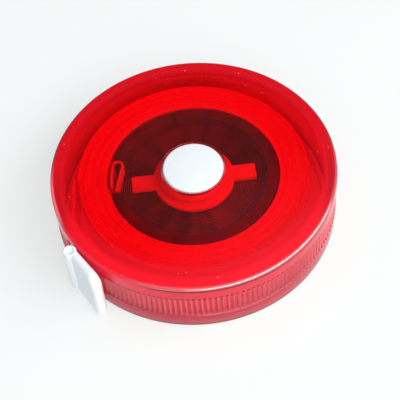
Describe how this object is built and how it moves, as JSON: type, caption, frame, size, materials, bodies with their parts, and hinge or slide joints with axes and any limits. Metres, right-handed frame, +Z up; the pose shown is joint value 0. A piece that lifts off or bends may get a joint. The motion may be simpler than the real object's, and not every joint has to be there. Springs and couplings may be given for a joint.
{
  "type": "retractable sewing tape measure",
  "caption": "Round push-button sewing tape measure in a see-through red case, with a sprung drum of white tape, a centre button that frees the brake and a swinging pull tab.",
  "frame": {"origin": "centre of the case's underside, on the drum's axis", "axes": "+Z up along the drum's axis through the button, -Y towards the picture's camera, tab at the front left"},
  "size_m": [0.05, 0.05, 0.0118],
  "materials": {
    "case_plastic": "clear red moulded plastic, glossy",
    "white_plastic": "white moulded plastic, soft gloss",
    "drum_plastic": "black moulded plastic",
    "spring_steel": "blued spring steel strip",
    "bright_steel": "bright drawn steel wire",
    "tape_cloth": "white coated glass-cloth tape",
    "felt": "grey felt"
  },
  "bodies": {
    "case": {"upper_case": "case_plastic", "lower_case": "case_plastic", "spring_retainer": "white_plastic", "return_spring": "bright_steel", "tape_lead": "tape_cloth"},
    "button": {"push_button": "white_plastic", "brake_yoke": "drum_plastic", "brake_pad": "felt"},
    "drum": {"drum": "drum_plastic", "anchor_pin": "bright_steel", "tape_core": "tape_cloth", "tape_outer_turn": "tape_cloth", "tape_inner_loop": "tape_cloth", "mainspring": "spring_steel"},
    "tape_end": {"tape_tongue": "tape_cloth", "tab_pin": "bright_steel"},
    "tab": {"end_tab": "white_plastic"}
  },
  "joints": [
    {"name": "button_press", "type": "slide", "parent": "case", "child": "button", "axis": [0, 0, -1], "range_m": [0, 0.0008], "stiffness_N_per_m": 400, "springref_m": -0.004, "deforming": ["return_spring"]},
    {"name": "drum_spin", "type": "hinge", "parent": "case", "child": "drum", "pos_m": [0, 0, 0.0033], "axis": [0, 0, 1], "range_deg": [0, 4855], "stiffness_Nm_per_rad": 0.0003, "springref_deg": -4583.66, "deforming": ["mainspring"]},
    {"name": "tab_pull", "type": "slide", "parent": "case", "child": "tape_end", "axis": [-0.0419, -0.9991, 0], "range_m": [0, 1.5]},
    {"name": "tab_swing", "type": "hinge", "parent": "tape_end", "child": "tab", "pos_m": [-0.02165, -0.01493, 0.0055], "axis": [0, 0, 1], "range_deg": [-60, 0]}
  ],
  "couplings": [
    {"joint": "tab_pull", "follows": "drum_spin", "m_per_rad": 0.0177}
  ]
}
